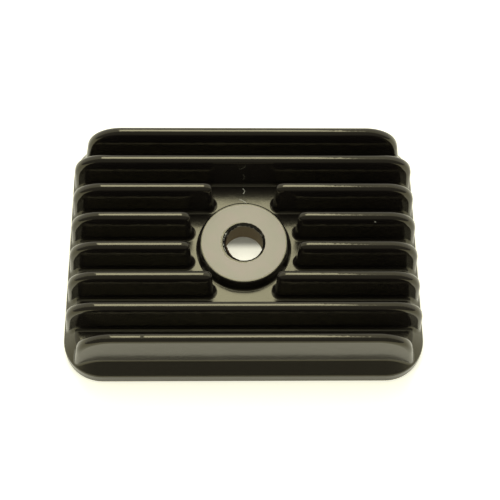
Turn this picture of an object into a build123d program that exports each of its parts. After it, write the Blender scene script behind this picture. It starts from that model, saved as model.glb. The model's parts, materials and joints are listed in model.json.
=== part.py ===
from build123d import *
import os
from math import radians, sqrt, tan

# Finned engine valve cover: one aluminium casting, in millimetres.
# The gasket face lies on z = 0, the bore is on the Z axis and the fins run along X.

# Body
cover_length = 104.4          # gasket face, along X
cover_width = 76.8            # gasket face, along Y
corner_radius = 11.6          # plan corners at the gasket face
wall_draft = 2.0              # degrees, outside walls
deck_height = 8.6             # gasket face to the deck, the floor between the fins
wall_height = 3.6             # gasket face to the shoulder, the slope up to the deck
wall_edge_radius = 1.0        # between the wall and the shoulder
shoulder_slope = 40.0         # degrees from upright
deck_edge_radius = 2.0        # between the shoulder and the deck

# Fins
fin_count = 8
fin_margin = 5.55             # first and last fin's centre plane inside the gasket edge
fin_height = 12.6             # above the deck
fin_tip_thickness = 2.75
fin_face_draft = 2.5          # degrees, each broad face
fin_rim_land = 0.05           # flat left along the middle of the rounded rim
fin_root_radius = 1.1         # blend between a fin and the deck
fin_foot_margin = 0.5         # lower end of a fin, inside the shoulder, above the wall's top edge
inner_fin_inset = 1.2         # fin end inside the gasket edge, all but the first and last fin
inner_fin_draft = 5.5         # degrees, end face
inner_fin_corner = 9.0        # radius of its top corners
outer_fin_margin = 0.1        # foot of the first and last fin inside the body's corner
outer_fin_draft = 10.0        # degrees, end face
outer_fin_corner = 11.0       # radius of its top corners

# Boss and bore
boss_height = 4.0             # above the deck
boss_draft = 4.0              # degrees
boss_edge_radius = 0.6        # around the spot face
boss_root_radius = 0.8        # blend between the boss and the deck
spot_face_diameter = 25.0     # seat of the washer under the fixing nut
bore_diameter = 11.5
bore_chamfer = 0.6

# Gap in the fins around the boss
boss_clearance = 2.4          # foot of the boss to the round end of a fin
nose_radius = 4.0             # top corner of a round end, seen from the side
nose_overshoot = 0.9          # how far that corner's arc starts beyond the round end

# Underside
gasket_face_width = 3.5
deck_thickness = 3.2
cavity_draft = 3.0            # degrees
cavity_edge_radius = 1.5      # between the roof of the cavity and its walls
inner_boss_diameter = 20.0    # at its lower end
inner_boss_setback = 4.2      # lower end of the inner boss above the gasket face
inner_boss_draft = 3.0        # degrees

# Heights and places that follow
tip_height = deck_height + fin_height
fin_foot_height = wall_height + fin_foot_margin
fin_embed = deck_height - fin_foot_height
wall_inset = wall_height * tan(radians(wall_draft))
boss_face_height = deck_height + boss_height
cavity_roof_height = deck_height - deck_thickness
fin_pitch = (cover_width - 2 * fin_margin) / (fin_count - 1)
fin_lines = [fin_pitch * (index - (fin_count - 1) / 2) for index in range(fin_count)]
fin_side_slope = tan(radians(fin_face_draft))
fin_root_half_width = fin_tip_thickness / 2 + fin_height * fin_side_slope
fin_rim_radius = (fin_tip_thickness - fin_rim_land) / 2
fin_foot_half_width = fin_root_half_width + fin_embed * fin_side_slope
boss_top_radius = spot_face_diameter / 2 + boss_edge_radius
boss_foot_radius = boss_top_radius + boss_height * tan(radians(boss_draft))
gap_radius = boss_foot_radius + boss_clearance

# Where the first and last fin end, so that the foot of each stays inside the body's corner
foot_setback = wall_inset + fin_foot_margin * tan(radians(shoulder_slope))
corner_reach = corner_radius - foot_setback - outer_fin_margin - fin_rim_radius
corner_rise = fin_lines[-1] + fin_foot_half_width - fin_rim_radius - (cover_width / 2 - corner_radius)
outer_fin_foot = cover_length / 2 - corner_radius + sqrt(corner_reach**2 - corner_rise**2) + fin_rim_radius
outer_fin_reach = outer_fin_foot - fin_embed * tan(radians(outer_fin_draft))
inner_fin_reach = cover_length / 2 - inner_fin_inset

# Each end of a fin: draft of its end face and radius of its top corner
inner_fin_end = (inner_fin_draft, inner_fin_corner)
outer_fin_end = (outer_fin_draft, outer_fin_corner)
round_end = (0, nose_radius)


def fin_blade(left, right, left_end, right_end):
    """A fin centred on y = 0 that reaches from x = left to x = right at deck height."""
    left_slope = tan(radians(left_end[0]))
    right_slope = tan(radians(right_end[0]))
    parted = left_end == round_end
    overshoot = nose_overshoot if parted else 0
    slot_left = left - fin_embed * fin_side_slope if parted else -cover_length
    with BuildPart() as blade:
        with BuildSketch(Plane.XZ) as side_view:
            with BuildLine():
                Polyline(
                    (left - overshoot - fin_embed * left_slope, fin_foot_height),
                    (right + fin_embed * right_slope, fin_foot_height),
                    (right - fin_height * right_slope, tip_height),
                    (left - overshoot + fin_height * left_slope, tip_height),
                    close=True,
                )
            make_face()
            fillet(side_view.vertices().group_by(Axis.Y)[-1].sort_by(Axis.X)[0], left_end[1])
            fillet(side_view.vertices().group_by(Axis.Y)[-1].sort_by(Axis.X)[-1], right_end[1])
        extrude(amount=fin_pitch / 2, both=True)

        # Draft on the broad faces, which also gives a parted fin its round end
        with BuildSketch(Plane.XY.offset(fin_foot_height)):
            with Locations(((slot_left + cover_length) / 2, 0)):
                SlotOverall(cover_length - slot_left, 2 * fin_foot_half_width)
        extrude(amount=fin_embed + fin_height, taper=fin_face_draft, mode=Mode.INTERSECT)

        # Rounded rim, all round the broad faces but for the foot and the joint with the round end
        broad_faces = blade.faces().filter_by(GeomType.PLANE).sort_by(Axis.Y)
        rim = broad_faces[0].edges().sort_by(Axis.Z)[1:] + broad_faces[-1].edges().sort_by(Axis.Z)[1:]
        if parted:
            straight = ShapeList(rim).filter_by(GeomType.LINE).sort_by(Axis.X)
            rim = [edge for edge in rim if edge not in straight[:2]]
        fillet(rim, fin_rim_radius)
    return blade.part


def fins_on(line):
    """The fin at y = line, in two halves where it would run into the boss."""
    outermost = line in (fin_lines[0], fin_lines[-1])
    end = outer_fin_reach if outermost else inner_fin_reach
    cover_end = outer_fin_end if outermost else inner_fin_end
    nose_circle = gap_radius + fin_root_half_width
    if abs(line) > nose_circle:
        return [fin_blade(-end, end, cover_end, cover_end)]
    gap = sqrt(nose_circle**2 - line**2) - fin_root_half_width
    right_half = fin_blade(gap, end, round_end, cover_end)
    return [right_half, right_half.mirror(Plane.YZ)]


def boss_body():
    """The boss as a turned body that stands in the deck, with a rounded top edge and a flared foot."""
    flare = boss_foot_radius + boss_root_radius
    with BuildPart() as boss:
        with BuildSketch(Plane.XZ) as half_section:
            with BuildLine():
                Polyline(
                    (0, cavity_roof_height),
                    (flare, cavity_roof_height),
                    (flare, deck_height),
                    (boss_foot_radius, deck_height),
                    (boss_top_radius, boss_face_height),
                    (0, boss_face_height),
                    close=True,
                )
            make_face()
            corners = half_section.vertices()
            fillet(corners.group_by(Axis.Y)[-1].sort_by(Axis.X)[-1], boss_edge_radius)
            foot = half_section.vertices().group_by(Axis.Y)[1].sort_by(Axis.X)[0]
            fillet(foot, boss_root_radius)
        revolve(axis=Axis.Z)
    return boss.part


def at_fin_root(edge):
    """True for a concave edge where a fin meets the deck or the shoulder."""
    off_line = min(abs(edge.center().Y - line) for line in fin_lines)
    low = edge.bounding_box().max.Z < deck_height + fin_root_radius
    return low and off_line < fin_pitch / 4 and edge.is_interior


with BuildPart() as valve_cover:
    # Body, with a sloping shoulder up to the deck
    with BuildSketch():
        RectangleRounded(cover_length, cover_width, corner_radius)
    extrude(amount=wall_height, taper=wall_draft)
    with BuildSketch(Plane.XY.offset(wall_height)):
        RectangleRounded(
            cover_length - 2 * wall_inset,
            cover_width - 2 * wall_inset,
            corner_radius - wall_inset,
        )
    extrude(amount=deck_height - wall_height, taper=shoulder_slope)
    fillet(valve_cover.faces().sort_by(Axis.Z)[-1].edges(), deck_edge_radius)
    fillet(valve_cover.edges().filter_by_position(Axis.Z, wall_height, wall_height), wall_edge_radius)

    # Fins
    for line in fin_lines:
        with Locations((0, line, 0)):
            add(fins_on(line))
    fillet(valve_cover.edges().filter_by(at_fin_root), fin_root_radius)

    # Boss, blended into the deck at its foot
    add(boss_body())

    # Hollow underside, and the boss inside it
    with BuildSketch():
        RectangleRounded(
            cover_length - 2 * gasket_face_width,
            cover_width - 2 * gasket_face_width,
            corner_radius - gasket_face_width,
        )
    extrude(amount=cavity_roof_height, taper=cavity_draft, mode=Mode.SUBTRACT)
    fillet(valve_cover.edges(Select.LAST).group_by(Axis.Z)[-1], cavity_edge_radius)
    with BuildSketch(Plane.XY.offset(inner_boss_setback)):
        Circle(inner_boss_diameter / 2)
    extrude(amount=cavity_roof_height - inner_boss_setback, taper=-inner_boss_draft)

    # Bore for the fixing stud
    Hole(bore_diameter / 2)
    chamfer(valve_cover.edges(Select.LAST).filter_by(GeomType.CIRCLE).sort_by(Axis.Z)[-1], bore_chamfer)

valve_cover.part.label = "valve_cover"
os.makedirs("parts", exist_ok=True)
export_step(valve_cover.part, "parts/valve_cover.step")
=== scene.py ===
import json
from math import cos, pi, radians, sin
from random import Random

import bpy
from mathutils import Matrix, Vector


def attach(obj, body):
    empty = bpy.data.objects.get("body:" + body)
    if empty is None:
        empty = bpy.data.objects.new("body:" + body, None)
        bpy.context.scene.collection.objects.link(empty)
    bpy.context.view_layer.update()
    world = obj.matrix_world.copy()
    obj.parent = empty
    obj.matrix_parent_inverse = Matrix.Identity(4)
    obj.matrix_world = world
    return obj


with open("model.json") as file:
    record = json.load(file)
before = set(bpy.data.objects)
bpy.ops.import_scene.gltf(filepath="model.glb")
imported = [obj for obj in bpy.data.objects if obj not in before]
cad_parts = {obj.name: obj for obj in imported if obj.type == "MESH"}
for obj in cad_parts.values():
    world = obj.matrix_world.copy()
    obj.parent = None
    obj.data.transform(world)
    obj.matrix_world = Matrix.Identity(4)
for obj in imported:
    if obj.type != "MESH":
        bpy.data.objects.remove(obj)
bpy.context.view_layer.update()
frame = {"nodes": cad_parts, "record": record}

MM = 0.001

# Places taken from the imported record
mounts = {mount["name"]: mount for mount in frame["record"]["mounts"]}
seat_height = mounts["washer_seat"]["pos_m"][2]
bore_radius = mounts["bore"]["dims"]["r_mm"] * MM

# ---------------------------------------------------------------- camera
# Heading, height above the horizon and roll in degrees, then the point in the plane of the washer
# seat that the middle of the frame looks at, and the distance to it
CAMERA_HEADING = -3.139
CAMERA_ELEVATION = 64.683
CAMERA_ROLL = 2.807
CAMERA_DISTANCE = 326.43 * MM
CAMERA_TARGET = Vector((1.75 * MM, -2.579 * MM, seat_height))
FOCAL_LENGTH = 80.53
SENSOR_WIDTH = 36
CLIP_START = 0.01
CLIP_END = 20


def add_camera():
    """The camera, turned to look at its target."""
    heading = radians(CAMERA_HEADING)
    elevation = radians(CAMERA_ELEVATION)
    roll = radians(CAMERA_ROLL)
    back = Vector((sin(heading) * cos(elevation), -cos(heading) * cos(elevation), sin(elevation)))
    level_right = Vector((cos(heading), sin(heading), 0))
    level_up = back.cross(level_right)
    right = cos(roll) * level_right + sin(roll) * level_up
    up = -sin(roll) * level_right + cos(roll) * level_up
    data = bpy.data.cameras.new("camera")
    data.sensor_width = SENSOR_WIDTH
    data.lens = FOCAL_LENGTH
    data.clip_start = CLIP_START
    data.clip_end = CLIP_END
    camera = bpy.data.objects.new("camera", data)
    bpy.context.collection.objects.link(camera)
    turn = Matrix((right, up, back)).transposed().to_4x4()
    camera.matrix_world = Matrix.Translation(CAMERA_TARGET + CAMERA_DISTANCE * back) @ turn
    bpy.context.scene.camera = camera


# ---------------------------------------------------------------- light
PANEL_TILT = 24.5             # degrees from overhead towards +Y
PANEL_SIDE = -0.045           # X part of the lamp's direction, before it is made a unit vector
PANEL_DISTANCE = 1.2
PANEL_WIDTH = 0.42            # along X
PANEL_DEPTH = 0.64
PANEL_RADIANCE = 7.2
ROOM_LIGHT = 0.6              # even light from all round
SHEEN_BEHIND = 1.3            # what glossy surfaces mirror towards +Y
SHEEN_IN_FRONT = 0.25         # and towards -Y, where the room is dark
SHEEN_TURN = (-0.2, 0.1)      # Y of the direction over which one turns into the other
BACKGROUND_WHITE = 1.0        # what the camera sees beyond the floor
FLOOR_WHITE = 0.62            # added to the lit floor where it is seen or mirrored
FLOOR_PAINTED_SHADE_BELOW_BORE = 0.1          # painted shade: the same glow, lowered below the bore on the +Y side
FLOOR_PAINTED_LIGHT_BELOW_BORE = 0.72       # painted light: raised below the bore on the -Y side, as if falling through it
FLOOR_SHADE_EDGE = (3.2 * MM, 6.2 * MM)      # Y over which the last two meet
FLOOR_BORE_EDGE = (12 * MM, 20 * MM)         # distance from the bore's axis where both end
FLOOR_HALF_WIDTH = 1.5
FLOOR_ROUGHNESS = 0.8
FLOOR_COLOUR = (0.9, 0.88, 0.72, 1)
FLOOR_GLOW_COLOUR = (1, 0.98, 0.8, 1)
WHITE = (1, 1, 1, 1)


def add_panel():
    """A soft lamp above and behind the object."""
    tilt = radians(PANEL_TILT)
    direction = Vector((PANEL_SIDE, sin(tilt), cos(tilt))).normalized()
    light = bpy.data.lights.new("softbox", "AREA")
    light.shape = "RECTANGLE"
    light.size = PANEL_WIDTH
    light.size_y = PANEL_DEPTH
    light.energy = PANEL_RADIANCE * pi * PANEL_WIDTH * PANEL_DEPTH
    panel = bpy.data.objects.new("softbox", light)
    bpy.context.collection.objects.link(panel)
    turn = direction.to_track_quat("Z", "Y").to_matrix().to_4x4()
    panel.matrix_world = Matrix.Translation(direction * PANEL_DISTANCE) @ turn


# ---------------------------------------------------------------- shader nodes
# Where the Mix node keeps its colour sockets
MIX_FIRST_COLOUR = 6
MIX_SECOND_COLOUR = 7
MIX_COLOUR = 2


def put(tree, value, socket):
    """Sets a socket to a number, or links another node's output to it."""
    if isinstance(value, bpy.types.NodeSocket):
        tree.links.new(value, socket)
    else:
        socket.default_value = value


def math(tree, operation, first, second=0.0):
    """One step of arithmetic."""
    node = tree.nodes.new("ShaderNodeMath")
    node.operation = operation
    put(tree, first, node.inputs[0])
    put(tree, second, node.inputs[1])
    return node.outputs["Value"]


def times(tree, *factors):
    """The product of two or more values."""
    product = factors[0]
    for factor in factors[1:]:
        product = math(tree, "MULTIPLY", product, factor)
    return product


def part_of(tree, vector, axis):
    """The X, Y or Z of a vector."""
    split = tree.nodes.new("ShaderNodeSeparateXYZ")
    tree.links.new(vector, split.inputs["Vector"])
    return split.outputs[axis]


def ramp(tree, value, start, end, low=0.0, high=1.0):
    """Goes smoothly from low to high as the value goes from start to end."""
    node = tree.nodes.new("ShaderNodeMapRange")
    node.interpolation_type = "SMOOTHSTEP"
    put(tree, value, node.inputs["Value"])
    node.inputs["From Min"].default_value = start
    node.inputs["From Max"].default_value = end
    put(tree, low, node.inputs["To Min"])
    put(tree, high, node.inputs["To Max"])
    return node.outputs["Result"]


def blend(tree, share, first, second):
    """Mixes two colours."""
    node = tree.nodes.new("ShaderNodeMix")
    node.data_type = "RGBA"
    put(tree, share, node.inputs["Factor"])
    put(tree, first, node.inputs[MIX_FIRST_COLOUR])
    put(tree, second, node.inputs[MIX_SECOND_COLOUR])
    return node.outputs[MIX_COLOUR]


def noise(tree, place, scale, detail=2.0):
    """Noise round 0, from about -0.5 to 0.5, with this many waves a metre."""
    node = tree.nodes.new("ShaderNodeTexNoise")
    node.inputs["Scale"].default_value = scale
    node.inputs["Detail"].default_value = detail
    tree.links.new(place, node.inputs["Vector"])
    return math(tree, "SUBTRACT", node.outputs["Fac"], 0.5)


def vector_math(tree, operation, first, second, result="Vector"):
    """One step of vector arithmetic, which gives a vector or a value."""
    node = tree.nodes.new("ShaderNodeVectorMath")
    node.operation = operation
    put(tree, first, node.inputs[0])
    put(tree, second, node.inputs[1])
    return node.outputs[result]


def radius_from(tree, place, centre=(0, 0, 0)):
    """Distance from an upright axis."""
    offset = vector_math(tree, "SUBTRACT", place, centre)
    flat = vector_math(tree, "MULTIPLY", offset, (1, 1, 0))
    return vector_math(tree, "DISTANCE", flat, (0, 0, 0), "Value")


def sheen_rays(tree):
    """1 for the camera's rays and for those that metal and gloss send on, 0 for light itself."""
    path = tree.nodes.new("ShaderNodeLightPath")
    seen = math(tree, "MAXIMUM", path.outputs["Is Camera Ray"], path.outputs["Is Glossy Ray"])
    return math(tree, "MAXIMUM", seen, path.outputs["Is Transmission Ray"])


def add_world():
    """Plain even light, white to the camera, and for gloss a pale backdrop and a darker room in front."""
    world = bpy.data.worlds.new("world")
    bpy.context.scene.world = world
    world.use_nodes = True
    tree = world.node_tree
    direction = tree.nodes.new("ShaderNodeTexCoord").outputs["Generated"]
    y = part_of(tree, direction, "Y")
    backdrop = ramp(tree, y, *SHEEN_TURN, SHEEN_IN_FRONT, SHEEN_BEHIND)
    strength = ramp(tree, sheen_rays(tree), 0.0, 1.0, ROOM_LIGHT, backdrop)
    path = tree.nodes.new("ShaderNodeLightPath")
    strength = ramp(tree, path.outputs["Is Camera Ray"], 0.0, 1.0, strength, BACKGROUND_WHITE)
    tree.links.new(strength, tree.nodes["Background"].inputs["Strength"])
    tree.nodes["Background"].inputs["Color"].default_value = WHITE


def add_floor():
    """A pale floor that keeps a faint shadow, with a painted pool of light and painted shade in its glow
    below the bore.
    """
    half = FLOOR_HALF_WIDTH
    mesh = bpy.data.meshes.new("floor")
    corners = [(-half, -half, 0), (half, -half, 0), (half, half, 0), (-half, half, 0)]
    mesh.from_pydata(corners, [], [(0, 1, 2, 3)])
    floor = bpy.data.objects.new("floor", mesh)
    bpy.context.collection.objects.link(floor)
    material = bpy.data.materials.new("floor")
    material.use_nodes = True
    tree = material.node_tree
    shader = tree.nodes["Principled BSDF"]
    shader.inputs["Base Color"].default_value = FLOOR_COLOUR
    shader.inputs["Roughness"].default_value = FLOOR_ROUGHNESS
    shader.inputs["Emission Color"].default_value = FLOOR_GLOW_COLOUR
    place = tree.nodes.new("ShaderNodeTexCoord").outputs["Object"]
    y = part_of(tree, place, "Y")
    # Painted light and painted shade below the bore: the glow is raised on the -Y side and lowered on the
    # +Y side, ending 12 to 20 mm from the bore's axis
    painted_light_and_shade = ramp(tree, y, *FLOOR_SHADE_EDGE, FLOOR_PAINTED_LIGHT_BELOW_BORE, FLOOR_PAINTED_SHADE_BELOW_BORE)
    glow = ramp(tree, radius_from(tree, place), *FLOOR_BORE_EDGE, painted_light_and_shade, FLOOR_WHITE)
    tree.links.new(times(tree, sheen_rays(tree), glow), shader.inputs["Emission Strength"])
    floor.data.materials.append(material)


# ---------------------------------------------------------------- the casting's material
ENAMEL = (0.012, 0.010, 0.008, 1)
BARE_METAL = (0.35, 0.33, 0.24, 1)
BARE_METAL_WARM = (0.37, 0.33, 0.25, 1)
BORE_WALL = (0.095, 0.06, 0.03, 1)
CHIP = (0.62, 0.62, 0.48, 1)

BARE_METALLIC = 0.35
DULL_ROUGHNESS = 0.6
ENAMEL_IOR = 1.5
ENAMEL_SPECULAR_TINT = (1.0, 0.93, 0.57, 1)
DECK_ROUGHNESS = 0.2
FIN_ROUGHNESS = 0.07
ROUGHNESS_HEIGHTS = (9 * MM, 16 * MM)        # where the first of these turns into the second
HAZE_SCALE = 60               # waves a metre, as all scales here
HAZE_DETAIL = 4.0
HAZE_REACH = 0.06
MOTTLE_SCALE = 160
MOTTLE_EDGE = (-0.15, 0.15)
PEEL_SCALE = 300
PEEL_DEPTH = 0.04 * MM
TURNING_PITCH = 0.35 * MM
TURNING_DEPTH = 0.002 * MM

BARE_RADIUS = 12.25 * MM      # edge of the bare spot face
BARE_EDGE = 0.05 * MM         # half the width over which it fades
BARE_SCALE = 600
BARE_REACH = 0.3 * MM
BARE_DEPTHS = (0.5 * MM, 0.4 * MM)           # below the seat, where the bare face starts
ENAMEL_RADIUS = 6.6 * MM      # enamel left round the mouth of the bore
ENAMEL_CENTRE = (-0.25 * MM, -0.12 * MM, 0)
ENAMEL_EDGE = 0.06 * MM
ENAMEL_SCALE = 900
ENAMEL_REACH = 1.0 * MM
RAGGED_DETAIL = 3.0
BORE_WALL_EDGE = (0.05 * MM, 0.15 * MM)      # outside the bore's radius
BORE_WALL_DEPTHS = (1.3 * MM, 1.1 * MM)      # below the seat, where the dull wall starts

# Thin chips in the enamel of the deck behind the boss: middle, angle in degrees, length, bow
CHIPS = [
    ((0.30 * MM, 19.45 * MM, 0), -60, 1.3 * MM, 0.35),
    ((0.22 * MM, 18.50 * MM, 0), 60, 1.1 * MM, -0.35),
    ((-0.10 * MM, 15.75 * MM, 0), -28, 2.6 * MM, 0.12),
]
CHIP_WIDTH = 0.3 * MM
CHIP_SCALE = 2500
CHIP_REACH = 0.2 * MM
CHIP_SIDE_FADE = (0.2, 0.5)   # shares of its width
CHIP_END_FADE = (0.4, 0.5)    # shares of its length
CHIP_TOP_DEPTHS = (2 * MM, 1.5 * MM)         # below the seat, so that chips stay on the deck's top
CHIP_FOOT_DEPTHS = (5.5 * MM, 5 * MM)
SPECK_PLACE = (37.9 * MM, 3.1 * MM, 19.3 * MM)
SPECK_RADIUS = 0.35 * MM
NICK_PLACE = (-28.2 * MM, -32.8 * MM, 21.2 * MM)
NICK_RADIUS = 0.6 * MM
DOT_CORE = 0.7                # share of a dot's radius that is solid

# Bright flecks in the chamfer of the bore
FLECK_INNER_EDGE = (0.1 * MM, 0.15 * MM)     # outside the bore's radius
FLECK_OUTER_EDGE = (0.35 * MM, 0.45 * MM)
FLECK_SIDE = (-5.2 * MM, -4.8 * MM)          # X
FLECK_SCALE = 1800
FLECK_GRAIN = (0.0, 0.05)

# The ragged lip in the chamfer, in millimetres beyond the bore's radius or below the seat
BURR_SEED = 7
BURR_WAVES = (5, 9, 14, 23, 31)
BURR_STEPS = 240
BURR_WIDEST = 205             # degrees from +X
BURR_REACH = 0.12             # inwards, all round
BURR_LEAN = 0.7               # added where it is widest
BURR_RIPPLE = 0.25
BURR_LIP_DEPTH = 0.7
BURR_LIP_SLOPE = 1.2
BURR_TOP = (0.6, 0.05)        # outwards and down, buried in the chamfer
BURR_THICKNESS = 0.2
BURR_ROOT = (0.3, 0.3)        # outwards, and down from the lip, buried in the wall


def ragged(tree, radius, place, scale, reach):
    """A radius that wanders by the given reach, so that an edge set by it is uneven."""
    wander = times(tree, noise(tree, place, scale, RAGGED_DETAIL), reach)
    return math(tree, "ADD", radius, wander)


def above(tree, height, depths):
    """1 above this place below the seat. The two depths are where it starts and where it is full."""
    return ramp(tree, height, seat_height - depths[0], seat_height - depths[1])


def under(tree, height, depths):
    """1 under this place below the seat."""
    return ramp(tree, height, seat_height - depths[0], seat_height - depths[1], 1.0, 0.0)


def spot_face_mask(tree, place, height):
    """1 on the bare face of the boss, outside the enamel left round the bore."""
    outer = ragged(tree, radius_from(tree, place), place, BARE_SCALE, BARE_REACH)
    inner = ragged(tree, radius_from(tree, place, ENAMEL_CENTRE), place, ENAMEL_SCALE, ENAMEL_REACH)
    inside = ramp(tree, outer, BARE_RADIUS - BARE_EDGE, BARE_RADIUS + BARE_EDGE, 1.0, 0.0)
    outside = ramp(tree, inner, ENAMEL_RADIUS - ENAMEL_EDGE, ENAMEL_RADIUS + ENAMEL_EDGE)
    return times(tree, inside, outside, above(tree, height, BARE_DEPTHS))


def bore_mask(tree, place, height):
    """1 on the wall of the bore, below the burr at its mouth."""
    start, end = (bore_radius + edge for edge in BORE_WALL_EDGE)
    inside = ramp(tree, radius_from(tree, place), start, end, 1.0, 0.0)
    return times(tree, inside, under(tree, height, BORE_WALL_DEPTHS))


def chip_mask(tree, place, height, centre, angle, length, bow):
    """1 on a thin bowed chip in the deck."""
    turn = radians(angle)
    offset = vector_math(tree, "SUBTRACT", place, centre)
    along = vector_math(tree, "DOT_PRODUCT", offset, (cos(turn), sin(turn), 0), "Value")
    across = vector_math(tree, "DOT_PRODUCT", offset, (-sin(turn), cos(turn), 0), "Value")
    bend = times(tree, along, along, bow / MM)
    off_line = math(tree, "ABSOLUTE", math(tree, "ADD", across, bend))
    off_line = math(tree, "ADD", off_line, times(tree, noise(tree, place, CHIP_SCALE), CHIP_REACH))
    off_middle = math(tree, "ABSOLUTE", along)
    side_start, side_end = (share * CHIP_WIDTH for share in CHIP_SIDE_FADE)
    tip_start, tip_end = (share * length for share in CHIP_END_FADE)
    on_line = ramp(tree, off_line, side_start, side_end, 1.0, 0.0)
    short = ramp(tree, off_middle, tip_start, tip_end, 1.0, 0.0)
    on_deck = times(tree, under(tree, height, CHIP_TOP_DEPTHS), above(tree, height, CHIP_FOOT_DEPTHS))
    return times(tree, on_line, short, on_deck)


def dot_mask(tree, place, centre, radius):
    """1 inside a small ball."""
    distance = vector_math(tree, "DISTANCE", place, centre, "Value")
    return ramp(tree, distance, DOT_CORE * radius, radius, 1.0, 0.0)


def fleck_mask(tree, place):
    """1 on bright flecks in the chamfer of the bore, on the -X side."""
    radius = radius_from(tree, place)
    inner_start, inner_end = (bore_radius + edge for edge in FLECK_INNER_EDGE)
    outer_start, outer_end = (bore_radius + edge for edge in FLECK_OUTER_EDGE)
    outside = ramp(tree, radius, inner_start, inner_end)
    inside = ramp(tree, radius, outer_start, outer_end, 1.0, 0.0)
    side = ramp(tree, part_of(tree, place, "X"), *FLECK_SIDE, 1.0, 0.0)
    grain = ramp(tree, noise(tree, place, FLECK_SCALE), *FLECK_GRAIN)
    return times(tree, inside, outside, side, grain)


def enamel_material():
    """Gloss enamel over the casting, bare metal on the spot face, and a dull bore."""
    material = bpy.data.materials.new("enamelled_casting")
    material.use_nodes = True
    tree = material.node_tree
    shader = tree.nodes["Principled BSDF"]
    place = tree.nodes.new("ShaderNodeTexCoord").outputs["Object"]
    height = part_of(tree, place, "Z")
    spot = spot_face_mask(tree, place, height)
    wall = bore_mask(tree, place, height)
    bare = math(tree, "MAXIMUM", spot, wall)
    chipped = dot_mask(tree, place, SPECK_PLACE, SPECK_RADIUS)
    chipped = math(tree, "MAXIMUM", chipped, fleck_mask(tree, place))
    for centre, angle, length, bow in CHIPS:
        mask = chip_mask(tree, place, height, centre, angle, length, bow)
        chipped = math(tree, "MAXIMUM", chipped, mask)
    dull = math(tree, "MAXIMUM", bare, chipped)
    dull = math(tree, "MAXIMUM", dull, dot_mask(tree, place, NICK_PLACE, NICK_RADIUS))

    mottle = ramp(tree, noise(tree, place, MOTTLE_SCALE), *MOTTLE_EDGE)
    colour = blend(tree, mottle, BARE_METAL, BARE_METAL_WARM)
    colour = blend(tree, spot, ENAMEL, colour)
    colour = blend(tree, wall, colour, BORE_WALL)
    colour = blend(tree, chipped, colour, CHIP)
    tree.links.new(colour, shader.inputs["Base Color"])
    tree.links.new(times(tree, bare, BARE_METALLIC), shader.inputs["Metallic"])
    haze = ramp(tree, height, *ROUGHNESS_HEIGHTS, DECK_ROUGHNESS, FIN_ROUGHNESS)
    haze = math(tree, "ADD", haze, times(tree, noise(tree, place, HAZE_SCALE, HAZE_DETAIL), HAZE_REACH))
    tree.links.new(ramp(tree, dull, 0.0, 1.0, haze, DULL_ROUGHNESS), shader.inputs["Roughness"])
    shader.inputs["IOR"].default_value = ENAMEL_IOR
    shader.inputs["Specular Tint"].default_value = ENAMEL_SPECULAR_TINT

    # Orange peel in the enamel, and turning marks on the bare face
    peel = times(tree, noise(tree, place, PEEL_SCALE), PEEL_DEPTH)
    rings = math(tree, "SINE", times(tree, radius_from(tree, place), 2 * pi / TURNING_PITCH))
    marks = times(tree, rings, spot, TURNING_DEPTH)
    bump = tree.nodes.new("ShaderNodeBump")
    bump.inputs["Distance"].default_value = 1.0
    tree.links.new(math(tree, "ADD", peel, marks), bump.inputs["Height"])
    tree.links.new(bump.outputs["Normal"], shader.inputs["Normal"])
    return material


def add_burr(material):
    """The ragged lip of enamel in the chamfer at the mouth of the bore, widest on the -X side."""
    draw = Random(BURR_SEED)
    waves = [(count, draw.uniform(0, 2 * pi)) for count in BURR_WAVES]
    points = []
    for step in range(BURR_STEPS):
        angle = 2 * pi * step / BURR_STEPS
        lean = max(0.0, cos(angle - radians(BURR_WIDEST))) ** 2
        ripple = sum(sin(count * angle + phase) for count, phase in waves) / len(waves)
        reach = BURR_REACH + BURR_LEAN * lean + BURR_RIPPLE * ripple
        lip = BURR_LIP_DEPTH + BURR_LIP_SLOPE * reach
        root_out, root_down = BURR_ROOT
        section = (BURR_TOP, (-reach, lip), (-reach, lip + BURR_THICKNESS), (root_out, lip + root_down))
        for outward, depth in section:
            radius = bore_radius + outward * MM
            points.append((radius * cos(angle), radius * sin(angle), seat_height - depth * MM))
    faces = []
    sides = len(section)
    for step in range(BURR_STEPS):
        start = sides * step
        after = sides * ((step + 1) % BURR_STEPS)
        for side in range(sides):
            turn = (side + 1) % sides
            faces.append((start + side, after + side, after + turn, start + turn))
    mesh = bpy.data.meshes.new("bore_burr")
    mesh.from_pydata(points, [], faces)
    mesh.materials.append(material)
    burr = bpy.data.objects.new("bore_burr", mesh)
    bpy.context.collection.objects.link(burr)
    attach(burr, "root")


add_camera()
add_panel()
add_world()
add_floor()

cover = frame["nodes"]["valve_cover"]
material = enamel_material()
cover.data.materials.clear()
cover.data.materials.append(material)
add_burr(material)

bpy.context.scene.view_settings.view_transform = "Standard"
